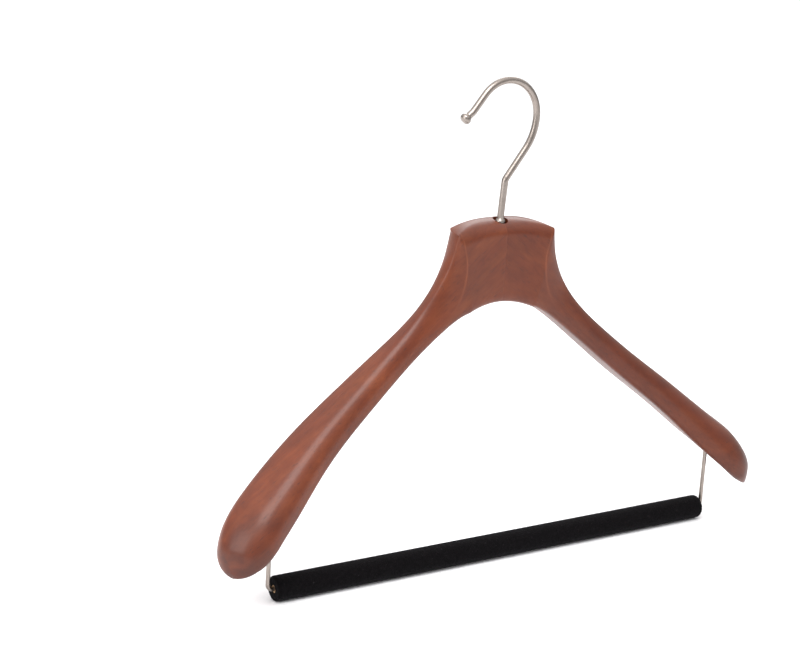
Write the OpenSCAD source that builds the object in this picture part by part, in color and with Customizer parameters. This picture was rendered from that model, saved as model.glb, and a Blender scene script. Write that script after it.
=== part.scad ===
// Wooden suit hanger with a swivel hook and a trouser bar.
// Origin: the rail seat, the highest point inside the hook's crown.
// +X runs along the hanger, +Z is up, and both shoulders bow forward, towards -Y.

/* [Wooden body] */
// Width over the shoulder tips, on the middle line of the wood
hanger_w = 435; // [415:5:450]
// Height from the head's arch to the rim of the hook's hole
head_h = 55; // [53:1:58]
// Half thickness of the head, front to back
head_half_t = 9.5; // [9:0.5:12]
// Half thickness of the flared shoulders
flare_half_t = 21; // [18:0.5:24]
// How far the shoulder tips bow forward
bow = 36; // [28:1:42]
// Radius of the wood's lower edges
edge_r = 5; // [3:0.5:5.5]

/* [Hook] */
// Diameter of the hook wire
hook_d = 4.8; // [4.2:0.1:5]
// Lean of the shank above the collar, in degrees
shank_lean = 4; // [0:1:6]
// Length of the leaning shank up to the first bend
shank_l = 23.5; // [18:0.5:28]
// Radius of the hook's crown, on the wire's centre line
crown_r = 24.5; // [22:0.5:26]

/* [Trouser bar] */
// Diameter of the bar over its flocking
bar_d = 17; // [16:0.2:20]
// Thickness of the flocking
flock_t = 0.8; // [0.6:0.1:1]
// Distance between the two wires that carry the bar
wire_span = 370; // [350:2:374]
// Depth of the bar's axis below the rim of the hook's hole
bar_drop = 224; // [220:1:240]
// Diameter of the wires that carry the bar
wire_d = 3; // [2.6:0.1:3.4]

/* [Hidden] */
wood_color = [0.50, 0.29, 0.22];
dowel_color = [0.80, 0.65, 0.45];
metal_color = [0.75, 0.72, 0.69];
flock_color = [0.04, 0.04, 0.04];
$fn = 48;

// ---- Frame -------------------------------------------------------------------------------------
// Every piece is drawn round the swivel axis, with z = 0 at the rim of the hook's hole, and
// moved here so that the rail seat becomes the origin.

module from_seat() {
    translate([-rail_seat.x, 0, -rail_seat.y]) children();
}

// ---- Wooden halves -----------------------------------------------------------------------------
// One half is a loft: each station's section stands between a point of the lower outline and
// a point of the upper outline. The outlines below are for a hanger 435 wide.

stretch = hanger_w / 435;
// Corner of the head's top, how far the top's middle stands above the hole's rim, and how late
// the top falls away
corner = [40, -5.5];
crest = 2;
top_power = 2.6;
// Half width of the head at its lower edge, and how far the arch drops by there
arch = [26, -5];
// Upper outline of the arm, from the head's corner to the tip
arm_top = [[40, -5.5], [45, -27], [56, -47], [76, -68.5], [112, -97],
           [152, -126], [184, -151], [204.5, -168], [216.5, -186.5], [217.5, -203.5]];
// Lower outline of the arm, each point facing its partner in arm_top
arm_bottom = [[26, -60], [34, -63], [47, -71], [69, -87.5], [104, -115],
              [143, -145], [174, -172], [193.5, -188], [206.5, -199.5], [216.5, -206.5]];
// Swelling from head thickness (0) to flare thickness (1) at the same places
arm_swell = [0, -0.02, 0.01, 0.11, 0.41, 0.7, 0.95, 1, 0.97, 0.92];
// Share of the section's height that its rounded top takes at the same places
arm_round = [0.1, 0.25, 0.4, 0.5, 0.56, 0.6, 0.66, 0.75, 0.85, 0.85];
// How far the section's ridge lies in front of the wood's middle plane at the same places
arm_ridge = [8, 6.5, 4.5, 2.5, 0.6, 0, 0, 0, 0, 0];
// How far the front face bulges forward at the same places, which leaves the head's front hollow
arm_proud = [2.2, 2.2, 1.6, 0.6, 0, 0, 0, 0, 0, 0];
// The shoulder's end closes as an ellipse over this many of the last stations
end_stations = 10;
// The bow reaches its full depth this far out, and stays shallow near the head
bow_reach = 215;
bow_power = 3.3;
head_steps = 8;
arm_steps = 5;
// Facets round a section's top, and in each lower edge
top_facets = 16;
edge_facets = 3;

// Point at t between points i and i + 1 of a smooth curve (Catmull-Rom); works on numbers too
function between(p, i, t) =
    let (last = len(p) - 1)
    let (a = i == 0 ? 2 * p[0] - p[1] : p[i - 1])
    let (b = p[i])
    let (c = p[i + 1])
    let (d = i == last - 1 ? 2 * p[last] - p[last - 1] : p[i + 2])
    b + 0.5 * t * (c - a + t * (2 * a - 5 * b + 4 * c - d + t * (3 * b - a - 3 * c + d)));

// The whole curve, with n steps between neighbours
function curve(p, n) =
    [for (i = [0:len(p) - 2]) for (j = [0:n - 1]) between(p, i, j / n), p[len(p) - 1]];

// The head's top falls away towards its corner, and its arch towards the arm
head_top = [for (i = [0:head_steps - 1]) let (t = i / head_steps)
    [corner.x * t, crest + (corner.y - crest) * pow(t, top_power)]];
head_arch = [for (i = [0:head_steps - 1]) let (t = i / head_steps) [arch.x * t, arch.y * t * t - head_h]];

upper = concat(head_top, curve(arm_top, arm_steps));
lower = concat(head_arch, curve(arm_bottom, arm_steps));
swell = concat([for (p = head_top) 0], curve(arm_swell, arm_steps));
rounding = concat([for (p = head_top) arm_round[0]], curve(arm_round, arm_steps));
// The ridge and the bulge grow from nothing at the middle of the head
grown = [for (i = [0:head_steps - 1]) pow(i / head_steps, 2)];
ridge = concat(arm_ridge[0] * grown, curve(arm_ridge, arm_steps));
proud = concat(arm_proud[0] * grown, curve(arm_proud, arm_steps));

// Distance of the wood's middle plane in front of the swivel axis, and how steeply it grows
function bow_at(x) = bow * pow(abs(x) / bow_reach, bow_power);
function bow_slope(x) = bow * bow_power / bow_reach * pow(abs(x) / bow_reach, bow_power - 1);

// One closed section: [offset to the back, height above the lower edge]
function section(front_t, back_t, height, round_share) =
    let (edge = min(edge_r, 0.4 * height, 0.8 * front_t))
    let (crown = min(height - edge, round_share * height))
    concat(
        [for (i = [0:top_facets]) let (a = 180 * i / top_facets)
            [-(i < top_facets / 2 ? front_t : back_t) * cos(a), height - crown + crown * sin(a)]],
        [for (i = [0:edge_facets]) let (a = 90 * i / edge_facets)
            [back_t - edge * (1 - cos(a)), edge * (1 - sin(a))]],
        [for (i = [edge_facets:-1:0]) let (a = 90 * i / edge_facets)
            [-front_t + edge * (1 - cos(a)), edge * (1 - sin(a))]]
    );

// Each section stands square to the bowed middle plane
function ring(i) =
    let (foot = [lower[i].x * stretch, lower[i].y])
    let (head = [upper[i].x * stretch, upper[i].y])
    let (height = norm(head - foot))
    let (rise = (head - foot) / height)
    let (past = max(0, 1 - (len(upper) - 1 - i) / end_stations))
    let (closing = max(0.03, sqrt(1 - past * past)))
    let (half_t = head_half_t + swell[i] * (flare_half_t - head_half_t))
    let (front_t = closing * (half_t + proud[i] - ridge[i]))
    let (back_t = closing * (half_t + ridge[i]))
    [for (p = section(front_t, back_t, height, rounding[i]))
        let (x = foot.x + rise.x * p[1])
        let (slope = bow_slope(x / stretch))
        let (across = 1 / sqrt(1 + slope * slope))
        [x + p[0] * slope * across, p[0] * across - bow_at(x / stretch) - closing * ridge[i],
         foot.y + rise.y * p[1]]];

module wood_half() {
    rings = [for (i = [0:len(upper) - 1]) ring(i)];
    last = len(rings) - 1;
    n = len(rings[0]);
    walls = [for (i = [0:last - 1]) for (j = [0:n - 1])
        let (k = (j + 1) % n)
        each [[i * n + j, i * n + k, (i + 1) * n + k], [i * n + j, (i + 1) * n + k, (i + 1) * n + j]]];
    inner_end = [[for (j = [n - 1:-1:0]) j]];
    outer_end = [[for (j = [0:n - 1]) last * n + j]];
    polyhedron([for (r = rings) each r], concat(walls, inner_end, outer_end));
}

// The blind hole for the swivel insert, with its countersunk mouth
module insert_hole() {
    translate([0, 0, -hole_depth]) cylinder(h = hole_depth + 5, d = sleeve_d);
    translate([0, 0, -mouth_depth]) cylinder(h = mouth_depth + 5, d = mouth_d);
}

// The holes that the two joint dowels are glued into
module dowel_holes() {
    for (z = dowel_z) {
        translate([-dowel_l / 2, 0, z]) rotate([0, 90, 0]) cylinder(h = dowel_l, d = dowel_d);
    }
}

// The hole in the arm's underside that holds a bar wire
module wire_hole() {
    translate([wire_x, wire_y, -bar_drop]) cylinder(h = bar_drop + wire_top, d = wire_d);
}

module left_arm() {
    color(wood_color) from_seat() difference() {
        mirror([1, 0, 0]) wood_half();
        insert_hole();
        dowel_holes();
        mirror([1, 0, 0]) wire_hole();
    }
}

module right_arm() {
    color(wood_color) from_seat() difference() {
        wood_half();
        insert_hole();
        dowel_holes();
        wire_hole();
    }
}

// ---- Joint dowels ------------------------------------------------------------------------------

dowel_d = 6;
dowel_l = 38;
// Heights of the upper and the lower dowel
dowel_z = [-35, -47];

module joint_dowel(z) {
    color(dowel_color) from_seat() translate([0, 0, z]) rotate([0, 90, 0])
        rotate_extrude() polygon([[0, -dowel_l / 2], [dowel_d / 2 - 1, -dowel_l / 2],
            [dowel_d / 2, 1 - dowel_l / 2], [dowel_d / 2, dowel_l / 2 - 1],
            [dowel_d / 2 - 1, dowel_l / 2], [0, dowel_l / 2]]);
}

module joint_dowel_upper() {
    joint_dowel(dowel_z[0]);
}

module joint_dowel_lower() {
    joint_dowel(dowel_z[1]);
}

// ---- Swivel insert -----------------------------------------------------------------------------

sleeve_d = 8;
sleeve_l = 20;
mouth_d = 9.6;
mouth_depth = 3.4;
hole_depth = 27;
// Running clearance round the shank, on the radius
swivel_gap = 0.06;
// Play along the shank at each end of the sleeve
end_play = 0.15;
washer_d = 7;
washer_t = 1;
// The shank's lower end, spread over the washer
peen_d = 5.8;
peen_h = 0.8;

module insert_sleeve() {
    color(metal_color) from_seat() translate([0, 0, -mouth_depth - sleeve_l]) difference() {
        cylinder(h = sleeve_l, d = sleeve_d);
        translate([0, 0, -1]) cylinder(h = sleeve_l + 2, d = hook_d + 2 * swivel_gap);
    }
}

// ---- Hook --------------------------------------------------------------------------------------

collar_d = 7.2;
collar_h = 5.4;
// The wire's route starts at the collar's top, just above the straight shank
route_foot = [0, collar_h + end_play - mouth_depth, 0];
neck_h = 0.5;
// Degrees of a bend between two stations, and the wire's facets
bend_step = 4;
tube_sides = 20;
collar_bend_r = 12;
lower_bend_r = 6;
// Angle of the slanting run from the vertical
slant = 37;
side_r = 37;
// Heading, from the vertical, at which the crown straightens out
crown_end = -141;
tip_run = 13;
tip_bend_r = 12;
tip_turn = 14;
tip_end = 5;
// The slanting run is as long as it takes to bring the crown's centre over the swivel axis
slant_run = (crown_r - side_r * (1 - cos(slant)) - lower_bend_r * (cos(shank_lean) - cos(slant))
    - shank_l * sin(shank_lean) - collar_bend_r * (1 - cos(shank_lean))) / sin(slant);
// The wire's route: [straight run, radius of the bend after it, turn], + turning right
hook_steps = [
    [0, collar_bend_r, shank_lean],
    [shank_l, lower_bend_r, slant - shank_lean],
    [slant_run, side_r, -slant],
    [0, crown_r, crown_end],
    [tip_run, tip_bend_r, tip_turn],
    [tip_end, 0, 0]
];

// Where a step of the route leads: [x, z, heading from the vertical]
function after(start, step) =
    let (side = sign(step[2]))
    let (a = start[2])
    let (b = a + step[2])
    [start.x + step[0] * sin(a) + side * step[1] * (cos(a) - cos(b)),
     start.y + step[0] * cos(a) - side * step[1] * (sin(a) - sin(b)),
     b];

// Start of step i
function station(steps, i) = i == 0 ? route_foot : after(station(steps, i - 1), steps[i - 1]);

// Stations along the whole route: the ends of each run, and one every few degrees of a bend
function route(steps) =
    concat(
        [for (i = [0:len(steps) - 1])
            let (start = station(steps, i))
            let (run_end = after(start, [steps[i][0], 0, 0]))
            let (turn = steps[i][2])
            let (n = ceil(abs(turn) / bend_step))
            each concat(
                steps[i][0] > 0 ? [start] : [],
                [for (j = [0:1:n - 1]) after(run_end, [0, steps[i][1], turn * j / n])]
            )],
        [station(steps, len(steps))]
    );

// A round tube through the stations, which all lie in the XZ plane
module tube(stations, radii) {
    last = len(stations) - 1;
    n = tube_sides;
    points = [for (i = [0:last]) for (j = [0:n - 1])
        let (s = stations[i])
        let (out = radii[i] * cos(360 * j / n))
        [s.x + out * cos(s[2]), radii[i] * sin(360 * j / n), s.y - out * sin(s[2])]];
    walls = [for (i = [0:last - 1]) for (j = [0:n - 1])
        let (k = (j + 1) % n)
        each [[i * n + j, (i + 1) * n + k, i * n + k], [i * n + j, (i + 1) * n + j, (i + 1) * n + k]]];
    polyhedron(points, concat(walls, [[for (j = [0:n - 1]) j]], [[for (j = [n - 1:-1:0]) last * n + j]]));
}

// The crown's top, inside the wire, is the rail seat
crown_start = station(hook_steps, 3);
rail_seat = [crown_start.x - crown_r, crown_start.y + crown_r - hook_d / 2];
tip = station(hook_steps, len(hook_steps));
shank_foot = -mouth_depth - sleeve_l - 2 * end_play - washer_t;

module hook_wire() {
    stations = route(hook_steps);
    neck = [0, route_foot.y - neck_h, 0];
    color(metal_color) from_seat() {
        tube(concat([neck], stations), concat([0.97], [for (s = stations) 1]) * hook_d / 2);
        translate([0, 0, shank_foot]) cylinder(h = neck.y - shank_foot, d = hook_d);
        // The peened end that holds the washer
        translate([0, 0, shank_foot - peen_h]) cylinder(h = peen_h, d1 = hook_d, d2 = peen_d);
    }
}

// A flattened ball with a through hole: a bead
module bead(d, h, hole_d) {
    rotate_extrude() difference() {
        union() {
            translate([d / 2 - h / 2, 0]) circle(d = h);
            translate([0, -h / 2]) square([d / 2 - h / 2, h]);
        }
        translate([-d, -h]) square([d + hole_d / 2, 2 * h]);
    }
}

module hook_collar() {
    color(metal_color) from_seat() translate([0, 0, collar_h / 2 + end_play - mouth_depth])
        bead(collar_d, collar_h, hook_d);
}

tip_ball_d = 7.6;
tip_ball_h = 5.4;
socket_depth = 2;

module hook_tip_ball() {
    color(metal_color) from_seat() translate([tip.x, 0, tip.y]) rotate([0, tip[2], 0]) difference() {
        translate([0, 0, tip_ball_h / 2 - socket_depth]) bead(tip_ball_d, tip_ball_h, 0);
        translate([0, 0, -tip_ball_h]) cylinder(h = tip_ball_h, d = hook_d);
    }
}

module end_washer() {
    color(metal_color) from_seat() translate([0, 0, shank_foot]) difference() {
        cylinder(h = washer_t, d = washer_d);
        translate([0, 0, -1]) cylinder(h = washer_t + 2, d = hook_d);
    }
}

// ---- Trouser bar -------------------------------------------------------------------------------

wire_x = wire_span / 2;
// The wires stand a little in front of the wood's middle plane
wire_forward = 4;
wire_y = -bow_at(wire_x / stretch) - wire_forward;
wire_bend_r = 4;
// Top end of the wires, inside the arms
wire_top = -164;
// Length of the wire's foot inside the bar
foot_l = 24;
foot_gap = 0.06;
bar_half_l = wire_x - wire_bend_r;
end_round = 2;

// A bend of the wire that starts at the origin along +Z and turns towards +X, or -X if negative
module bend(r, turn, d) {
    mirror([turn > 0 ? 1 : 0, 0, 0]) translate([-r, 0, 0]) rotate([90, 0, 0])
        rotate_extrude(angle = abs(turn)) translate([r, 0]) circle(d = d);
}

module bar_wire() {
    translate([wire_x, wire_y, wire_top]) rotate([0, 180, 0]) {
        cylinder(h = wire_top + bar_drop - wire_bend_r, d = wire_d);
        translate([0, 0, wire_top + bar_drop - wire_bend_r]) bend(wire_bend_r, 90, wire_d);
    }
    translate([bar_half_l - foot_l, wire_y, -bar_drop]) rotate([0, 90, 0])
        cylinder(h = foot_l, d = wire_d);
}

module bar_wire_left() {
    color(metal_color) from_seat() mirror([1, 0, 0]) bar_wire();
}

module bar_wire_right() {
    color(metal_color) from_seat() bar_wire();
}

// A round rod along X on the bar's axis, with rounded ends
module rod(d, half_l) {
    flat = d / 2 - end_round;
    translate([0, wire_y, -bar_drop]) rotate([0, 90, 0]) rotate_extrude() union() {
        translate([0, -half_l]) square([flat, 2 * half_l]);
        translate([0, end_round - half_l]) square([d / 2, 2 * (half_l - end_round)]);
        for (side = [-1, 1]) translate([flat, side * (half_l - end_round)]) circle(r = end_round);
    }
}

// The holes in the bar's ends, in which the wires' feet turn
module foot_holes(depth) {
    for (side = [-1, 1]) {
        translate([side * (bar_half_l - depth / 2 + 1), wire_y, -bar_drop]) rotate([0, 90, 0])
            cylinder(h = depth + 2, d = wire_d + 2 * foot_gap, center = true);
    }
}

module bar_core() {
    color(dowel_color) from_seat() difference() {
        rod(bar_d - 2 * flock_t, bar_half_l - flock_t);
        foot_holes(foot_l + 3);
    }
}

module bar_flocking() {
    color(flock_color) from_seat() difference() {
        rod(bar_d, bar_half_l);
        rod(bar_d - 2 * flock_t, bar_half_l - flock_t);
        foot_holes(foot_l + 3);
    }
}

// ---- Nodes -------------------------------------------------------------------------------------

left_arm();
right_arm();
joint_dowel_upper();
joint_dowel_lower();
insert_sleeve();
hook_wire();
hook_collar();
hook_tip_ball();
end_washer();
bar_wire_left();
bar_wire_right();
bar_core();
bar_flocking();
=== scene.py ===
import math

import bpy
import numpy as np
from mathutils import Matrix, Vector


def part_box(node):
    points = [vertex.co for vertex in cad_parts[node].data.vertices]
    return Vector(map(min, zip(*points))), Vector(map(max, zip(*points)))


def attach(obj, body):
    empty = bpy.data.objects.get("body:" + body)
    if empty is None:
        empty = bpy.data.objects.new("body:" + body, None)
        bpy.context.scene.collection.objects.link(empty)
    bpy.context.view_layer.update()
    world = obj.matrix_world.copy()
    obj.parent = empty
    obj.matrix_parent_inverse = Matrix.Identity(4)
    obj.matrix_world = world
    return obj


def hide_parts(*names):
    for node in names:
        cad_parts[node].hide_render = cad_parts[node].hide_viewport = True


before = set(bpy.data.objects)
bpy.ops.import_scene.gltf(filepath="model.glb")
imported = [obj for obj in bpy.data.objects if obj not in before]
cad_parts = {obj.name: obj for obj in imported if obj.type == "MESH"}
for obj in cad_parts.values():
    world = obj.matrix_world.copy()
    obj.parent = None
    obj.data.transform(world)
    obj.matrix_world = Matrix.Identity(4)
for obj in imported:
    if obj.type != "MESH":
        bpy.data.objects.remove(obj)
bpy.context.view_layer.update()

# Lengths are in millimetres, as in the part's own source, unless a comment says metres.
# Everything that reaches Blender is in metres, in the row frame: the origin is the rail seat
# inside the hook's crown, +X runs along the hanger, +Z is up and the shoulders bow towards -Y.
MM = 0.001

# ---- Places taken from the frame -----------------------------------------------------------

# Depth of the hook's hole down to the swivel insert, and the height of the hole's rim
MOUTH_DEPTH = 3.4
HEAD_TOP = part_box("insert_sleeve")[1].z / MM + MOUTH_DEPTH
# The floor touches the bar, in metres
FLOOR_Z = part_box("bar_flocking")[0].z

# ---- Camera --------------------------------------------------------------------------------

# Angles in degrees, and the distance in metres
CAMERA_AZIMUTH = 34.0
CAMERA_ELEVATION = 15.0
CAMERA_ROLL = 3.2
CAMERA_DISTANCE = 1.259
CAMERA_LENS = 83.9
CAMERA_SENSOR = 36.0
# Where the view's middle falls, measured from the rim of the hook's hole
LOOK_AT = Vector((-63.9, 18.3, -77.6))


def make_camera():
    """A long lens from the front left, rolled a little."""
    data = bpy.data.cameras.new("camera")
    data.lens = CAMERA_LENS
    data.sensor_width = CAMERA_SENSOR
    camera = bpy.data.objects.new("camera", data)
    bpy.context.scene.collection.objects.link(camera)
    azimuth, elevation = math.radians(CAMERA_AZIMUTH), math.radians(CAMERA_ELEVATION)
    back = Vector((-math.sin(azimuth) * math.cos(elevation),
                   -math.cos(azimuth) * math.cos(elevation), math.sin(elevation)))
    target = (LOOK_AT + Vector((0, 0, HEAD_TOP))) * MM
    turn = (-back).to_track_quat("-Z", "Y")
    roll = Matrix.Rotation(math.radians(CAMERA_ROLL), 4, "Z")
    place = Matrix.Translation(target + back * CAMERA_DISTANCE)
    camera.matrix_world = place @ turn.to_matrix().to_4x4() @ roll
    bpy.context.scene.camera = camera


# ---- Mesh helpers --------------------------------------------------------------------------

# A turned piece's middle is closed by a ring of this radius
LEAST_RADIUS = 0.01


def new_piece(name, points, faces, sharp_above=40.0):
    """A smooth-shaded mesh object from points in metres. Edges sharper than the angle stay crisp."""
    mesh = bpy.data.meshes.new(name)
    mesh.from_pydata([tuple(p) for p in points], [], faces)
    mesh.validate()
    for polygon in mesh.polygons:
        polygon.use_smooth = True
    mesh.set_sharp_from_angle(angle=math.radians(sharp_above))
    piece = bpy.data.objects.new(name, mesh)
    bpy.context.scene.collection.objects.link(piece)
    return piece


def lofted(name, rings, sharp_above=40.0, closed=False):
    """Closed solid through equal rings (count, around, 3). It has flat ends, or it is closed
    on itself, with its last ring joined to its first."""
    count, around = rings.shape[:2]
    index = np.arange(count * around).reshape(count, around)
    next_ring = np.roll(index, -1, axis=0)
    walls = np.stack([index, np.roll(index, -1, axis=1), np.roll(next_ring, -1, axis=1), next_ring], axis=-1)
    if closed:
        faces = walls.reshape(-1, 4).tolist()
    else:
        faces = walls[:-1].reshape(-1, 4).tolist() + [index[0][::-1].tolist(), index[-1].tolist()]
    return new_piece(name, rings.reshape(-1, 3) * MM, faces, sharp_above)


def turned(name, profile, sides=64, sharp_above=40.0, closed=False):
    """Solid of revolution about Z. profile is (radius, z) from the bottom up, or, if closed,
    a loop that starts up its outside."""
    around = np.arange(sides) * 2 * math.pi / sides
    rings = np.array([[(max(r, LEAST_RADIUS) * math.cos(a), max(r, LEAST_RADIUS) * math.sin(a), z)
                       for a in around] for r, z in profile])
    return lofted(name, rings, sharp_above, closed)


def swept(name, stations, radii, sides=48):
    """Round tube through stations (x, z, heading in radians from +Z) in the plane y = 0."""
    around = np.arange(sides) * 2 * math.pi / sides
    rings = []
    for (x, z, heading), radius in zip(stations, radii):
        out = radius * np.cos(around)
        rings.append(np.stack([x + out * math.cos(heading), radius * np.sin(around),
                               z - out * math.sin(heading)], axis=-1))
    return lofted(name, np.array(rings)[:, ::-1])


def moved(piece, offset):
    """Moves a mesh by an offset, leaving its object at the origin."""
    piece.data.transform(Matrix.Translation(Vector(offset) * MM))
    return piece


def mirrored(piece):
    """Mirrors a mesh in X and turns its faces the right way out again."""
    piece.data.transform(Matrix.Scale(-1, 4, (1, 0, 0)))
    piece.data.flip_normals()
    return piece


def cut(piece, cutters, sharp_above=40.0):
    """Takes the cutters out of a piece, then removes them."""
    for cutter in cutters:
        modifier = piece.modifiers.new("cut", "BOOLEAN")
        modifier.operation = "DIFFERENCE"
        modifier.solver = "EXACT"
        modifier.object = cutter
    shape = piece.evaluated_get(bpy.context.evaluated_depsgraph_get())
    mesh = bpy.data.meshes.new_from_object(shape)
    mesh.name = piece.name
    piece.modifiers.clear()
    piece.data = mesh
    mesh.set_sharp_from_angle(angle=math.radians(sharp_above))
    for cutter in cutters:
        bpy.data.objects.remove(cutter)
    return piece


# ---- Wooden halves -------------------------------------------------------------------------
# The outlines are those of the part's source, with finer steps, measured from the rim of the
# hook's hole. Across them the wood is flat in front and behind, below a rounded band along its
# top. The band meets the front face in a crisp crescent at the neck. The underside is flat,
# with rounded edges.

# The head's top corner, the depth of the arch under the head's middle, and the arch's reach
# sideways with its fall by there
CORNER = (40, -5.5)
HEAD_HEIGHT = 55
ARCH = (26, -5)
# How far the top's middle stands above the rim of the hook's hole, and how late the top falls away
CREST = 2
TOP_POWER = 2.6
ARM_TOP = [(40, -5.5), (45, -27), (56, -47), (76, -68.5), (112, -97),
           (152, -126), (184, -151), (204.5, -168), (216.5, -186.5), (217.5, -203.5)]
ARM_BOTTOM = [(26, -60), (34, -63), (47, -71), (69, -87.5), (104, -115),
              (143, -145), (174, -172), (193.5, -188), (206.5, -199.5), (216.5, -206.5)]
# Half thickness at each place
ARM_HALF_T = [9.5, 9.27, 9.6, 10.8, 14.2, 17.5, 20.4, 21, 20.6, 20]
# Share of the arm's height that its rounded top takes at each place
ARM_ROUND = [0.5, 0.5, 0.5, 0.55, 0.6, 0.62, 0.66, 0.75, 0.85, 0.85]
# How square the rounded top is: 2 is an ellipse, and more makes it flatter
ARM_SQUARE = [2, 2, 2, 2.3, 2.9, 3.1, 3, 2.8, 2.4, 2]
# Width of the rounded band at the neck, in front and at the back, square to the outline
FRONT_BAND = [2.5, 13, 18, 16, 12, 12, 12, 12, 12, 12]
BACK_BAND = [9.5, 8.5, 10, 13, 12, 12, 12, 12, 12, 12]
# How far the front band is from meeting the flat face smoothly: 1 is smooth
NECK_CREASE = [1.9, 1.9, 1.5, 1.1, 1, 1, 1, 1, 1, 1]
# 0 where the band follows its width, 1 where it follows ARM_ROUND
ARM_SHARE = [0, 0, 0.1, 0.8, 1, 1, 1, 1, 1, 1]
# Share of the thickness that is left at the band's top
LEAST_FULLNESS = 1e-4
# How far the ridge lies in front of the wood's middle plane
RIDGE_FORWARD = [8, 6.5, 4.5, 2.5, 0.6, 0, 0, 0, 0, 0]
# How far the front face bulges forward towards the neck, which leaves the head's front hollow
FRONT_PROUD = [2.2, 2.2, 1.6, 0.6, 0, 0, 0, 0, 0, 0]
# The shoulders bow forwards by BOW at BOW_REACH from the middle
BOW = 36
BOW_POWER = 3.3
BOW_REACH = 215
# Radius of the underside's edges, and its largest shares of the wood's height and half thickness
LOWER_EDGE = 5
EDGE_IN_HEIGHT = 0.4
EDGE_IN_THICKNESS = 0.8
# The head's top rolls over from the front face: how far down it starts, and how far behind the
# middle plane it ends; the back edge is tighter
TOP_ROLL = 10
TOP_LEAN = 5
BACK_EDGE = 3.5
# Share of the thickness that the roll and the back edge leave at the top
TOP_LEAST = 0.01
# Stations along the head's half and between two points of an arm's outline
HEAD_STEPS = 56
ARM_STEPS = 24
# The shoulder closes over its last stations, down to a share of its thickness
END_STATIONS = 2 * ARM_STEPS
END_CLOSED = 0.03
# Steps up each face, which crowd towards the top by a power, and steps round each lower edge
HEIGHT_STEPS = 44
HEIGHT_CROWDING = 1.9
EDGE_STEPS = 7
# The strip along the top outline: its places from back to front, and how far it bulges up
# once the wood there is DOME_FULL_T thick
DOME_PLACES = np.array([0.15, 0.35, 0.65, 0.85])
DOME = 0.3
DOME_FULL_T = 12
# Both faces are set back by this at the seam
SEAM_GROOVE = 0.07
# The worn crescent at the front band's lower end: its place and width in the band, the crease
# at which it shows fully, and its middle and reach along the arm, in points of the outline
CRESCENT_PLACE = 0.98
CRESCENT_WIDTH = 0.045
CRESCENT_CREASE = 1.5
CRESCENT_MIDDLE = 0.6
CRESCENT_REACH = 1.1
# Edges of the wood stay crisp above this angle, in degrees
WOOD_SHARP_ABOVE = 50
# How strongly each of the last stations is stained, towards the tip
END_STAIN = 0.85 * np.linspace(0, 1, 3 * ARM_STEPS) ** 0.9


def smooth_curve(points, steps):
    """Catmull-Rom curve through points, with steps between neighbours."""
    p = np.array(points, float)
    p = np.concatenate([[2 * p[0] - p[1]], p, [2 * p[-1] - p[-2]]])
    t = (np.arange(steps) / steps).reshape((-1,) + (1,) * (p.ndim - 1))
    out = []
    for a, b, c, d in zip(p[:-3], p[1:-2], p[2:-1], p[3:]):
        out.append(b + 0.5 * t * (c - a + t * (2 * a - 5 * b + 4 * c - d + t * (3 * b - a - 3 * c + d))))
    return np.concatenate(out + [p[-2:-1]])


def distance_to(points, line):
    """Distance of each point from a polyline, and the nearest place along it, in vertices."""
    start, step = line[:-1], line[1:] - line[:-1]
    along = ((points[:, None] - start) * step).sum(-1) / (step * step).sum(-1)
    along = along.clip(0, 1)
    gap = np.linalg.norm(points[:, None] - start - along[..., None] * step, axis=-1)
    nearest = gap.argmin(1)
    rows = np.arange(len(points))
    return gap[rows, nearest], nearest + along[rows, nearest]


def along_half(values):
    """A value at every station of a half; the head takes the arm's first."""
    arm = smooth_curve(values, ARM_STEPS)
    return np.concatenate([np.full(HEAD_STEPS, arm[0]), arm])


def fullness(place, smooth_at, power):
    """Share of the half thickness at a place in the rounded band, where 0 is its top and 1 its
    foot. The curve would be smooth at smooth_at, so it meets the face in a crease before that."""
    rounded = (1 - (1 - place.clip(0, 1) / smooth_at).clip(0, 1) ** 2) / (1 - (1 - 1 / smooth_at) ** 2)
    return rounded.clip(LEAST_FULLNESS, 1) ** (1 / power)


def quarter_round(depth, radius):
    """Height of a quarter circle, as a share of its radius, at a depth from its start."""
    return np.sqrt(1 - (1 - (depth / radius).clip(0, 1)) ** 2)


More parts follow.
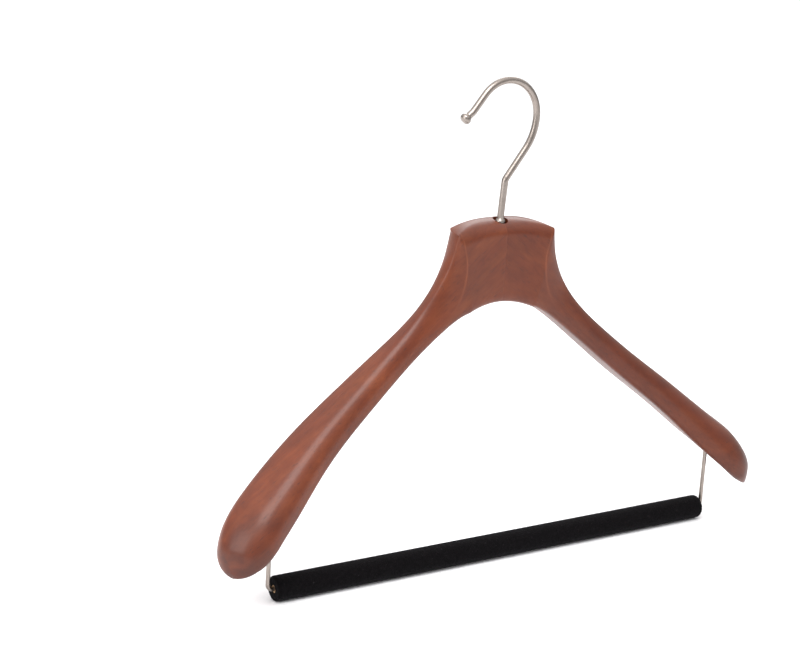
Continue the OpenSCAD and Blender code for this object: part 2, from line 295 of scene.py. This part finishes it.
def wood_rings():
    """The right half's rings, its wear and its end grain at the same points. A ring runs from
    the underside up the back, over the top and down the front."""
    # Share of the way from the seam to the head's corner
    t = np.arange(HEAD_STEPS) / HEAD_STEPS
    head_top = np.stack([CORNER[0] * t, CREST + (CORNER[1] - CREST) * t ** TOP_POWER], -1)
    head_arch = np.stack([ARCH[0] * t, ARCH[1] * t * t - HEAD_HEIGHT], -1)
    arm_line = smooth_curve(ARM_TOP, ARM_STEPS)
    upper = np.concatenate([head_top, arm_line])
    lower = np.concatenate([head_arch, smooth_curve(ARM_BOTTOM, ARM_STEPS)])
    top_line = np.concatenate([head_top, arm_line[:1]])
    thick, share, in_share = along_half(ARM_HALF_T), along_half(ARM_ROUND), along_half(ARM_SHARE).clip(0, 1)
    square, crease = along_half(ARM_SQUARE), along_half(NECK_CREASE)
    front_band, back_band = smooth_curve(FRONT_BAND, ARM_STEPS), smooth_curve(BACK_BAND, ARM_STEPS)
    band_points = np.arange(len(front_band))
    forward, proud = along_half(RIDGE_FORWARD), along_half(FRONT_PROUD)
    forward[:HEAD_STEPS] *= t ** 2
    proud[:HEAD_STEPS] *= t ** 2
    last = len(upper) - 1
    rings, wear = [], []
    for i in range(last + 1):
        foot, head = lower[i], upper[i]
        height = np.linalg.norm(head - foot)
        rise = (head - foot) / height
        past = max(0.0, 1 - (last - i) / END_STATIONS)
        closing = max(END_CLOSED, math.sqrt(1 - past * past))
        half_t = closing * thick[i]
        edge = min(LOWER_EDGE, EDGE_IN_HEIGHT * height, EDGE_IN_THICKNESS * half_t)
        turns = np.arange(EDGE_STEPS) / EDGE_STEPS * math.pi / 2
        climb = 1 - (1 - np.arange(HEIGHT_STEPS + 1) / HEIGHT_STEPS) ** HEIGHT_CROWDING
        up = np.concatenate([edge * (1 - np.cos(turns)), edge + (height - edge) * climb])
        place = foot + up[:, None] * rise
        # Rounded band below the upper outline
        gap, where = distance_to(place, arm_line)
        depth = (height - up) / (share[i] * height)
        in_front, behind = [gap / np.interp(where, band_points, widths) * (1 - in_share[i])
                            + depth * in_share[i] for widths in (front_band, back_band)]
        front = half_t + (proud[i] - forward[i]) * closing
        rear = half_t + forward[i] * closing
        front_y = front * fullness(in_front, crease[i], square[i])
        back_y = rear * fullness(behind, 1, square[i])
        # The head's top
        if i <= HEAD_STEPS + ARM_STEPS:
            drop, _ = distance_to(place, top_line)
            lean = TOP_LEAN * max(0, 1 - (i / HEAD_STEPS) ** 2)
            rolled = quarter_round(drop, TOP_ROLL).clip(TOP_LEAST, 1)
            front_y = np.minimum(front_y, (front + lean) * rolled - lean)
            inset = BACK_EDGE * (1 - quarter_round(drop, BACK_EDGE))
            back_y = np.minimum(back_y, np.maximum(rear - inset, TOP_LEAST * rear))
        # Rounded edges of the underside
        lip = edge - np.sqrt((edge ** 2 - (edge - up.clip(0, edge)) ** 2).clip(0))
        front_y, back_y = front_y - lip, back_y - lip
        if i == 0:
            front_y, back_y = front_y - SEAM_GROOVE, back_y - SEAM_GROOVE
        # The section stands square to the bowed middle line
        x = place[:, 0]
        middle = -BOW * (x / BOW_REACH) ** BOW_POWER - forward[i] * closing
        slope = BOW * BOW_POWER / BOW_REACH * (x / BOW_REACH) ** (BOW_POWER - 1)
        along, across = slope / np.hypot(1, slope), 1 / np.hypot(1, slope)
        back_side = np.stack([x + back_y * along, middle + back_y * across, place[:, 1]], -1)
        front_side = np.stack([x - front_y * along, middle - front_y * across, place[:, 1]], -1)[::-1]
        over = DOME_PLACES[:, None]
        top = back_side[-1] * (1 - over) + front_side[0] * over
        bulge = DOME * (4 * DOME_PLACES * (1 - DOME_PLACES))
        top[:, 2] += bulge * min(1, (back_y[-1] + front_y[-1]) / DOME_FULL_T)
        rings.append(np.concatenate([back_side, top, front_side]))
        # The crescents, where hands and clothes rub the stain lighter
        rub = np.exp(-((in_front - CRESCENT_PLACE) / CRESCENT_WIDTH) ** 2)
        rub *= min(1, max(0, (crease[i] - 1) / (CRESCENT_CREASE - 1)))
        rub *= np.exp(-((where - CRESCENT_MIDDLE * ARM_STEPS) / (CRESCENT_REACH * ARM_STEPS)) ** 2)
        wear.append(np.concatenate([0 * rub, np.zeros(len(top)), rub[::-1]]))
    ends = np.zeros((last + 1, len(rings[0])))
    ends[-len(END_STAIN):] = END_STAIN[:, None]
    return np.array(rings), np.array(wear), ends


def wood_half(name, side):
    """One half of the wood with its holes: side is 1 for the right and -1 for the left."""
    rings, wear, ends = wood_rings()
    rings[..., 2] += HEAD_TOP
    piece = lofted(name, rings, WOOD_SHARP_ABOVE)
    for label, values in (("wear", wear), ("end_grain", ends)):
        piece.data.attributes.new(label, "FLOAT", "POINT").data.foreach_set("value", values.reshape(-1))
    if side < 0:
        mirrored(piece)
    return cut(piece, hole_cutters(side), WOOD_SHARP_ABOVE)


# Holes, as in the part's source
SLEEVE_D = 8
MOUTH_D = 9.6
HOLE_DEPTH = 27
DOWEL_D = 6
DOWEL_L = 38
DOWEL_Z = (-35, -47)
WIRE_D = 3
WIRE_TOP = -164
# The mouth narrows by MOUTH_TAPER below MOUTH_WAIST and its rim is eased by MOUTH_RIM
MOUTH_WAIST = -2.2
MOUTH_TAPER = 0.3
MOUTH_RIM = 0.5
# Height to which the mouth's cutter goes on above the rim, and play round the bar's wires
CUTTER_ABOVE = 4
WIRE_PLAY = 0.3
# The bar's wires and its axis, from the frame
wire_low, wire_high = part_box("bar_wire_right")
WIRE_X = wire_high.x / MM - WIRE_D / 2
WIRE_Y = (wire_low.y + wire_high.y) / 2 / MM
BAR_AXIS = wire_low.z / MM + WIRE_D / 2


def rod(name, diameter, low, high):
    """A plain upright rod, used as a cutter."""
    return turned(name, [(diameter / 2, low), (diameter / 2, high)], sides=48)


def hole_cutters(side):
    """Cutters for the swivel insert, the two dowels and the bar's wire."""
    mouth_r, rim_r = MOUTH_D / 2, MOUTH_D / 2 + MOUTH_RIM
    profile = [(SLEEVE_D / 2, -HOLE_DEPTH), (SLEEVE_D / 2, -MOUTH_DEPTH),
               (mouth_r - MOUTH_TAPER, -MOUTH_DEPTH), (mouth_r, MOUTH_WAIST),
               (rim_r, 0), (rim_r, CUTTER_ABOVE)]
    cutters = [moved(turned("insert_cutter", profile), (0, 0, HEAD_TOP))]
    for z in DOWEL_Z:
        dowel = rod("dowel_cutter", DOWEL_D, -DOWEL_L / 2, DOWEL_L / 2)
        dowel.data.transform(Matrix.Rotation(math.pi / 2, 4, "Y"))
        cutters.append(moved(dowel, (0, 0, HEAD_TOP + z)))
    wire = rod("wire_cutter", WIRE_D + WIRE_PLAY, BAR_AXIS, HEAD_TOP + WIRE_TOP)
    cutters.append(moved(wire, (side * WIRE_X, WIRE_Y, 0)))
    return cutters


# ---- Metal pieces --------------------------------------------------------------------------

# Swivel, collar and tip ball
HOOK_D = 4.8
SLEEVE_L = 20
END_PLAY = 0.15
WASHER_T = 1
PEEN_D = 5.8
PEEN_H = 0.8
COLLAR_D = 7.2
COLLAR_H = 5.4
COLLAR_FOOT = END_PLAY - MOUTH_DEPTH
TIP_BALL_D = 7.6
TIP_BALL_H = 5.4
# The tip ball's socket, the play round a wire in a bead, and the fine line round a bead's foot
SOCKET_DEPTH = 2
BEAD_PLAY = 0.01
BEAD_LINE = 0.1
# Bends of the hook, from the collar to the tip
LEAN = math.radians(4)
SLANT = math.radians(37)
COLLAR_BEND_R = 12
SHANK_L = 23.5
LOWER_BEND_R = 6
SIDE_R = 37
CROWN_R = 24.5
CROWN_TURN = math.radians(141)
TIP_RUN = 13
TIP_BEND_R = 12
TIP_TURN = math.radians(14)
TIP_END = 5
# Largest turn between two stations of a bend
BEND_STEP = math.radians(2)
# The slanted run that brings the crown's middle over the swivel axis
SLANT_RUN = (CROWN_R - SIDE_R * (1 - math.cos(SLANT)) - LOWER_BEND_R * (math.cos(LEAN) - math.cos(SLANT))
             - SHANK_L * math.sin(LEAN) - COLLAR_BEND_R * (1 - math.cos(LEAN))) / math.sin(SLANT)
# The hook's route: straight run, radius of the bend after it, and its turn to the right
HOOK_STEPS = [(0, COLLAR_BEND_R, LEAN), (SHANK_L, LOWER_BEND_R, SLANT - LEAN), (SLANT_RUN, SIDE_R, -SLANT),
              (0, CROWN_R, -CROWN_TURN), (TIP_RUN, TIP_BEND_R, TIP_TURN), (TIP_END, 0, 0)]
# The bar's wires: their bend, and the length of their feet in the bar
WIRE_BEND_R = 4
FOOT_L = 24


def route(start, steps):
    """Stations (x, z, heading) of a wire that starts at a station and follows the steps."""
    x, z, heading = start
    stations = [start]
    for run, radius, turn in steps:
        if run:
            x, z = x + run * math.sin(heading), z + run * math.cos(heading)
            stations.append((x, z, heading))
        count = math.ceil(abs(turn) / BEND_STEP)
        side = math.copysign(1, turn)
        centre = (x + side * radius * math.cos(heading), z - side * radius * math.sin(heading))
        for _ in range(count):
            heading += turn / count
            x = centre[0] - side * radius * math.cos(heading)
            z = centre[1] + side * radius * math.sin(heading)
            stations.append((x, z, heading))
    return stations


def hook_stations():
    """The hook's wire above its collar."""
    return route((0, COLLAR_FOOT + COLLAR_H, 0), HOOK_STEPS)


def hook_wire():
    """The hook's wire with its shank, down to the peened end below the washer."""
    shank_foot = -MOUTH_DEPTH - SLEEVE_L - 2 * END_PLAY - WASHER_T
    above = hook_stations()
    stations = [(0, shank_foot - PEEN_H, 0), (0, shank_foot, 0), (0, COLLAR_FOOT, 0)] + above
    radii = [PEEN_D / 2] + [HOOK_D / 2] * (len(stations) - 1)
    return moved(swept("hook_wire_bent", stations, radii), (0, 0, HEAD_TOP))


def bead_outline(diameter, height, steps=20):
    """Outside of a flattened ball as (radius, height), from its foot up."""
    flat, half = diameter / 2 - height / 2, height / 2
    angles = np.linspace(-math.pi / 2, math.pi / 2, steps)
    return [(flat + half * math.cos(a), half + half * math.sin(a)) for a in angles]


def hook_collar():
    """The bead at the foot of the hook, bored for the wire."""
    bore = HOOK_D / 2 + BEAD_PLAY
    outline = [p for p in bead_outline(COLLAR_D, COLLAR_H) if p[0] > bore + 1.5 * BEAD_LINE]
    loop = [(bore, BEAD_LINE / 2)] + outline + [(bore, COLLAR_H - BEAD_LINE / 2)]
    return moved(turned("hook_collar_turned", loop, closed=True), (0, 0, HEAD_TOP + COLLAR_FOOT))


def hook_tip_ball():
    """The bead on the hook's tip, with a socket for the wire and a fine line round its foot."""
    x, z, heading = hook_stations()[-1]
    bore = HOOK_D / 2 + BEAD_PLAY
    outline = [p for p in bead_outline(TIP_BALL_D, TIP_BALL_H) if p[0] > bore + 3 * BEAD_LINE]
    socket = [(0, SOCKET_DEPTH), (bore, SOCKET_DEPTH), (bore, BEAD_LINE), (bore + 2 * BEAD_LINE, 0)]
    profile = socket + outline + [(0, TIP_BALL_H)]
    ball = moved(turned("hook_tip_bead", profile), (0, 0, -SOCKET_DEPTH))
    ball.data.transform(Matrix.Rotation(heading, 4, "Y"))
    return moved(ball, (x, 0, z + HEAD_TOP))


def bar_wire(name, side):
    """One wire: down from the arm, round a tight bend and into the end of the bar."""
    drop = HEAD_TOP + WIRE_TOP - BAR_AXIS - WIRE_BEND_R
    stations = route((0, 0, math.pi), [(drop, WIRE_BEND_R, math.pi / 2), (FOOT_L, 0, 0)])
    wire = swept(name, stations, [WIRE_D / 2] * len(stations), sides=32)
    moved(wire, (WIRE_X, WIRE_Y, HEAD_TOP + WIRE_TOP))
    return wire if side > 0 else mirrored(wire)


# ---- Flocked bar ---------------------------------------------------------------------------

bar_low, bar_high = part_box("bar_flocking")
BAR_R = (bar_high.z - bar_low.z) / 2 / MM
BAR_HALF_L = bar_high.x / MM
FLOCK_T = 0.8
# Radius of the bar's end edges
END_ROUND = 2
# Spacing of the skin's points along and round the bar, their number across an end face and
# round its edge, and how far the fibres' length varies
FLOCK_STEP = 0.55
END_POINTS = 6
FUZZ = 0.14
# Ragged hole in the flocking round the wire, through which the bar's wood shows
END_HOLE_R = 2.5
END_HOLE_RAGGED = 0.5
# Edges of the skin stay crisp above this angle, in degrees
FLOCK_SHARP_ABOVE = 80
FLOCK_SEED = 7


def flocking():
    """The bar's skin: a sleeve with rounded ends whose outside is uneven by the length of its fibres."""
    draw = np.random.default_rng(FLOCK_SEED)
    sides = int(2 * math.pi * BAR_R / FLOCK_STEP)
    straight = BAR_HALF_L - END_ROUND
    face_r = BAR_R - END_ROUND
    bends = np.linspace(0, math.pi / 2, END_POINTS)
    face = [(r, BAR_HALF_L) for r in np.linspace(END_HOLE_R, face_r, END_POINTS)[:-1]]
    rounded = [(face_r + END_ROUND * math.sin(a), straight + END_ROUND * math.cos(a)) for a in bends]
    side = [(BAR_R, x) for x in np.linspace(straight, -straight, int(2 * straight / FLOCK_STEP))[1:-1]]
    outside = face + rounded + side
    outside += [(r, -x) for r, x in (face + rounded)[::-1]]
    inner = BAR_R - FLOCK_T
    inside = [(END_HOLE_R, FLOCK_T - BAR_HALF_L), (inner, FLOCK_T - BAR_HALF_L)]
    inside += [(r, -x) for r, x in inside[::-1]]
    angles = np.arange(sides) * 2 * math.pi / sides
    rings = []
    for k, (radius, x) in enumerate(outside + inside):
        fuzz = FUZZ * draw.random(sides) if k < len(outside) else np.zeros(sides)
        ragged = END_HOLE_RAGGED * draw.random(sides) if radius == END_HOLE_R else 0
        r = radius - fuzz * (radius > face_r) + ragged
        sink = math.copysign(1, x) * fuzz * (abs(x) > straight)
        rings.append(np.stack([x - sink, r * np.cos(angles), r * np.sin(angles)], -1))
    piece = lofted("bar_flock_sleeve", np.array(rings)[:, ::-1], FLOCK_SHARP_ABOVE, closed=True)
    return moved(piece, (0, WIRE_Y, BAR_AXIS))


# ---- Materials -----------------------------------------------------------------------------

class Nodes:
    """A material's node tree, with a Principled shader whose constant values are set directly."""

    def __init__(self, name, **shader_values):
        self.material = bpy.data.materials.new(name)
        self.material.use_nodes = True
        self.tree = self.material.node_tree
        self.shader = self.tree.nodes["Principled BSDF"]
        for socket, value in shader_values.items():
            self.shader.inputs[socket.replace("_", " ")].default_value = value

    def add(self, kind, inputs, **settings):
        """Adds a node, sets its properties and fills or links its inputs."""
        node = self.tree.nodes.new("ShaderNode" + kind)
        for setting, value in settings.items():
            setattr(node, setting, value)
        for socket, value in inputs.items():
            self.put(value, node.inputs[socket])
        return node

    def put(self, value, socket):
        """Links an output to a socket, or sets the socket's constant."""
        if isinstance(value, bpy.types.NodeSocket):
            self.tree.links.new(value, socket)
        else:
            socket.default_value = value

    def space(self, scale, rotation=(0, 0, 0)):
        """Object coordinates in metres, turned and then scaled."""
        coordinates = self.add("TexCoord", {}).outputs["Object"]
        turned_to = self.add("Mapping", {"Vector": coordinates, "Rotation": rotation}).outputs[0]
        return self.add("Mapping", {"Vector": turned_to, "Scale": scale}).outputs[0]

    def noise(self, vector, scale=1.0, detail=2.0, roughness=0.5, distortion=0.0):
        """Fractal noise between 0 and 1."""
        return self.add("TexNoise", {"Vector": vector, "Scale": scale, "Detail": detail,
                                     "Roughness": roughness, "Distortion": distortion}).outputs["Fac"]

    def remap(self, value, low, high, to_low=0.0, to_high=1.0):
        """Takes the range from low to high to another, and stops at its ends."""
        return self.add("MapRange", {"Value": value, "From Min": low, "From Max": high,
                                     "To Min": to_low, "To Max": to_high}).outputs["Result"]

    def ramp(self, value, stops):
        """Colour along stops (position, (red, green, blue))."""
        node = self.add("ValToRGB", {"Fac": value})
        elements = node.color_ramp.elements
        while len(elements) < len(stops):
            elements.new(0.5)
        for element, (position, colour) in zip(elements, stops):
            element.position = position
            element.color = (*colour, 1)
        return node.outputs["Color"]

    def mix(self, a, b, share, blend="MIX"):
        """Colour a with a share of colour b laid over it."""
        node = self.add("MixRGB", {"Fac": share, "Color1": a, "Color2": b}, blend_type=blend)
        return node.outputs["Color"]

    def tinted(self, colour, value, stops, share):
        """A colour multiplied by a ramp, by a share."""
        return self.mix(colour, self.ramp(value, stops), share, "MULTIPLY")

    def maths(self, operation, a, b):
        """A sum, difference or product of two values."""
        return self.add("Math", {0: a, 1: b}, operation=operation).outputs[0]

    def attribute(self, name):
        """A value that the mesh carries at its points."""
        return self.add("Attribute", {}, attribute_name=name).outputs["Fac"]

    def colour(self, value):
        """Sets the shader's colour."""
        self.put(value, self.shader.inputs["Base Color"])

    def roughness(self, value):
        """Sets the shader's roughness."""
        self.put(value, self.shader.inputs["Roughness"])

    def bump(self, height, distance, strength=1.0):
        """Fine relief from a height map. Its distance is in metres."""
        node = self.add("Bump", {"Height": height, "Distance": distance, "Strength": strength})
        self.tree.links.new(node.outputs["Normal"], self.shader.inputs["Normal"])


# The grain runs along the arms, at this angle below level
GRAIN_ANGLE = math.radians(38)
# Stained wood's colours: its figure, its pores, its end grain, where it is worn, and the painted
# shade that darkens the whole right half
FIGURE_COLOURS = [(0.28, (0.112, 0.0222, 0.0074)), (0.45, (0.132, 0.0275, 0.0088)),
                  (0.6, (0.148, 0.0330, 0.0100)), (0.78, (0.172, 0.0420, 0.0122))]
PORE_COLOUR = (0.040, 0.012, 0.009, 1)
END_GRAIN_COLOUR = (0.038, 0.0095, 0.0065, 1)
WORN_COLOUR = (0.36, 0.105, 0.042, 1)
# Painted shade: a colour that darkens the right half, standing in for the shade on that side of the head
RIGHT_PAINTED_SHADE = (0.84, 0.80, 0.84, 1)


def stained_wood(name, side, shift):
    """Red-brown stained hardwood under satin lacquer, with its grain along one arm. side is 1
    for the right and -1 for the left, and the right half also gets a painted shade that darkens it;
    shift gives each half a figure of its own."""
    n = Nodes(name, Specular_IOR_Level=0.28, Coat_Weight=0.16, Coat_Roughness=0.2, Coat_IOR=1.5)
    turn = (0, -side * GRAIN_ANGLE, 0)

    def grain(along, across):
        """Places in the grain, with its scales along and across the fibres."""
        return n.add("VectorMath", {0: n.space((along, across, across), turn), 1: (shift, shift, shift)},
                     operation="ADD").outputs[0]

    figure = n.noise(grain(12, 48), detail=6, roughness=0.66, distortion=1.6)
    mottle = n.noise(grain(95, 150), detail=3, roughness=0.6, distortion=0.5)
    streaks = n.noise(grain(22, 420), detail=3, roughness=0.6)
    fibres = n.noise(grain(70, 2300), detail=2)
    pores = n.remap(n.noise(grain(120, 1500), detail=1), 0.66, 0.72)
    clouds = n.noise(grain(13, 21), detail=2)
    colour = n.ramp(figure, FIGURE_COLOURS)
    colour = n.tinted(colour, streaks, [(0.3, (0.80, 0.78, 0.78)), (0.7, (1.10, 1.10, 1.10))], 0.4)
    colour = n.tinted(colour, mottle, [(0.36, (0.80, 0.76, 0.76)), (0.64, (1.18, 1.22, 1.22))], 0.4)
    colour = n.tinted(colour, clouds, [(0.35, (0.70, 0.66, 0.68)), (0.62, (1.05, 1.05, 1.05))], 0.8)
    colour = n.tinted(colour, fibres, [(0.3, (0.86, 0.86, 0.86)), (0.7, (1.08, 1.08, 1.08))], 0.7)
    colour = n.mix(colour, PORE_COLOUR, n.maths("MULTIPLY", pores, 0.55))
    # The end grain of the shoulders takes up more stain, in blotches
    ends = n.attribute("end_grain")
    blotches = n.noise(n.space((38, 38, 38)), detail=3, roughness=0.55, distortion=0.6)
    colour = n.mix(colour, END_GRAIN_COLOUR, n.maths("MULTIPLY", ends, n.remap(blotches, 0.36, 0.60)))
    # Painted shade: the whole right half is darkened in its colour, in place of shade from the lighting
    if side > 0:
        colour = n.mix(colour, RIGHT_PAINTED_SHADE, 0.5, "MULTIPLY")
    n.colour(n.mix(colour, WORN_COLOUR, n.maths("MULTIPLY", n.attribute("wear"), 0.3)))
    n.roughness(n.remap(figure, 0.3, 0.75, 0.36, 0.47))
    relief = n.maths("SUBTRACT", n.maths("ADD", streaks, fibres), pores)
    n.bump(relief, 0.00006, 0.5)
    return n.material


def satin_nickel():
    """Fine blasted nickel plate: warm grey, with a soft unevenness in its shine."""
    n = Nodes("satin_nickel", Metallic=1.0)
    grit = n.noise(n.space((1, 1, 1)), 5200, detail=3, roughness=0.65)
    cloud = n.noise(n.space((1, 1, 1)), 120, detail=2)
    n.colour(n.ramp(cloud, [(0.3, (0.270, 0.233, 0.208)), (0.7, (0.325, 0.284, 0.256))]))
    n.roughness(n.remap(grit, 0.3, 0.7, 0.22, 0.36))
    n.bump(grit, 0.000012, 0.6)
    return n.material


def black_flock():
    """Short black rayon fibres stood on end: matt, with a faint grey sheen and a grainy surface."""
    n = Nodes("black_flock", Specular_IOR_Level=0.04, Sheen_Weight=0.06, Sheen_Roughness=0.35,
              Sheen_Tint=(0.75, 0.74, 0.8, 1))
    fibres = n.noise(n.space((1, 1, 1)), 2600, detail=4, roughness=0.7)
    clumps = n.noise(n.space((1, 1, 1)), 420, detail=3, roughness=0.6)
    lint = n.remap(n.noise(n.space((1, 1, 1)), 900, detail=1), 0.735, 0.76)
    colour = n.ramp(fibres, [(0.32, (0.0014, 0.0012, 0.0014)), (0.68, (0.0075, 0.0066, 0.0074))])
    colour = n.tinted(colour, clumps, [(0.35, (0.6, 0.6, 0.6)), (0.65, (1.2, 1.2, 1.2))], 0.8)
    n.colour(n.mix(colour, (0.045, 0.042, 0.045, 1), n.maths("MULTIPLY", lint, 0.5)))
    n.roughness(n.remap(clumps, 0.3, 0.7, 0.85, 1.0))
    n.bump(n.maths("ADD", fibres, clumps), 0.0004, 0.8)
    return n.material


def raw_wood():
    """Bare beech, with short dark flecks along the grain."""
    n = Nodes("raw_wood", Specular_IOR_Level=0.3)
    figure = n.noise(n.space((9, 130, 130)), detail=4, roughness=0.6)
    flecks = n.remap(n.noise(n.space((260, 1400, 1400)), detail=1), 0.62, 0.7)
    colour = n.ramp(figure, [(0.3, (0.44, 0.27, 0.145)), (0.7, (0.60, 0.40, 0.235))])
    n.colour(n.mix(colour, (0.25, 0.125, 0.06, 1), n.maths("MULTIPLY", flecks, 0.6)))
    n.roughness(n.remap(figure, 0.3, 0.7, 0.6, 0.75))
    n.bump(n.maths("SUBTRACT", figure, flecks), 0.0001, 0.5)
    return n.material


def turned_steel():
    """Zinc-plated steel of the hidden swivel insert, with fine rings from the lathe."""
    n = Nodes("turned_steel", Metallic=1.0)
    rings = n.noise(n.space((300, 300, 9000)), detail=2)
    n.colour(n.ramp(rings, [(0.3, (0.50, 0.50, 0.49)), (0.7, (0.64, 0.64, 0.62))]))
    n.roughness(n.remap(rings, 0.3, 0.7, 0.28, 0.42))
    n.bump(rings, 0.00002, 0.5)
    return n.material


def studio_floor():
    """Matt white paper."""
    n = Nodes("studio_floor", Specular_IOR_Level=0.2)
    paper = n.noise(n.space((1, 1, 1)), 900, detail=3)
    n.colour(n.ramp(paper, [(0.3, (0.93, 0.93, 0.94)), (0.7, (0.96, 0.96, 0.965))]))
    n.roughness(n.remap(paper, 0.3, 0.7, 0.8, 0.9))
    n.bump(paper, 0.0001, 0.2)
    return n.material


# ---- Studio --------------------------------------------------------------------------------

# Half the floor's width, in metres
FLOOR_HALF = 30.0
# Brightness of the light tent overhead, and from the horizon down
WORLD_ZENITH = 1.75
WORLD_HORIZON = 0.30
WORLD_COLOUR = (1.0, 0.995, 1.0, 1)
# Name, place, point aimed at, width, height (in metres) and power in watts
SOFTBOXES = [("overhead_softbox", (-0.5, -0.5, 1.1), (0, 0, -0.2), 0.9, 0.7, 14),
             ("left_softbox", (-1.3, -0.2, 0.3), (0, 0, -0.2), 0.8, 0.8, 8),
             ("back_softbox", (0.9, 1.0, 0.7), (0, 0, -0.15), 0.9, 0.6, 6)]


def make_floor(material):
    """A wide floor under the bar."""
    corners = [(-1, -1), (1, -1), (1, 1), (-1, 1)]
    points = [(FLOOR_HALF * x, FLOOR_HALF * y, FLOOR_Z) for x, y in corners]
    floor = new_piece("floor", points, [(0, 1, 2, 3)])
    floor.data.materials.append(material)


def make_world():
    """A white light tent, brightest overhead."""
    world = bpy.data.worlds.new("light_tent")
    bpy.context.scene.world = world
    world.use_nodes = True
    tree = world.node_tree
    background = tree.nodes["Background"]
    direction = tree.nodes.new("ShaderNodeTexCoord")
    split = tree.nodes.new("ShaderNodeSeparateXYZ")
    height = tree.nodes.new("ShaderNodeMapRange")
    height.inputs["To Min"].default_value = WORLD_HORIZON
    height.inputs["To Max"].default_value = WORLD_ZENITH
    tree.links.new(direction.outputs["Generated"], split.inputs[0])
    tree.links.new(split.outputs["Z"], height.inputs["Value"])
    tree.links.new(height.outputs["Result"], background.inputs["Strength"])
    background.inputs["Color"].default_value = WORLD_COLOUR


def make_softbox(name, place, aim, width, height, power):
    """A rectangular soft light."""
    data = bpy.data.lights.new(name, "AREA")
    data.shape = "RECTANGLE"
    data.size, data.size_y = width, height
    data.energy = power
    light = bpy.data.objects.new(name, data)
    bpy.context.scene.collection.objects.link(light)
    turn = (Vector(aim) - Vector(place)).to_track_quat("-Z", "Y")
    light.matrix_world = Matrix.Translation(place) @ turn.to_matrix().to_4x4()


# ---- Assembly ------------------------------------------------------------------------------

def finish_piece(piece, node, body, material):
    """Lets a piece ride its body in the place of its CAD node, and gives it its material."""
    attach(piece, body)
    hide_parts(node)
    piece.data.materials.append(material)


make_camera()
make_world()
make_floor(studio_floor())
for softbox in SOFTBOXES:
    make_softbox(*softbox)
bpy.context.scene.view_settings.view_transform = "Standard"

nickel, steel, beech = satin_nickel(), turned_steel(), raw_wood()

for node, side, shift in (("left_arm", -1, 3.7), ("right_arm", 1, 11.3)):
    material = stained_wood(f"stained_wood_{node}", side, shift)
    finish_piece(wood_half(f"{node}_wood", side), node, "hanger", material)

for node, piece in (("hook_wire", hook_wire()), ("hook_collar", hook_collar()),
                    ("hook_tip_ball", hook_tip_ball())):
    finish_piece(piece, node, "hook", nickel)

for node, side in (("bar_wire_left", -1), ("bar_wire_right", 1)):
    finish_piece(bar_wire(f"{node}_bent", side), node, "hanger", nickel)

finish_piece(flocking(), "bar_flocking", "trouser_bar", black_flock())

# Pieces that keep the mesh of their CAD node
for node, material in (("insert_sleeve", steel), ("end_washer", steel), ("bar_core", beech),
                       ("joint_dowel_upper", beech), ("joint_dowel_lower", beech)):
    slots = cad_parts[node].data.materials
    slots.clear()
    slots.append(material)
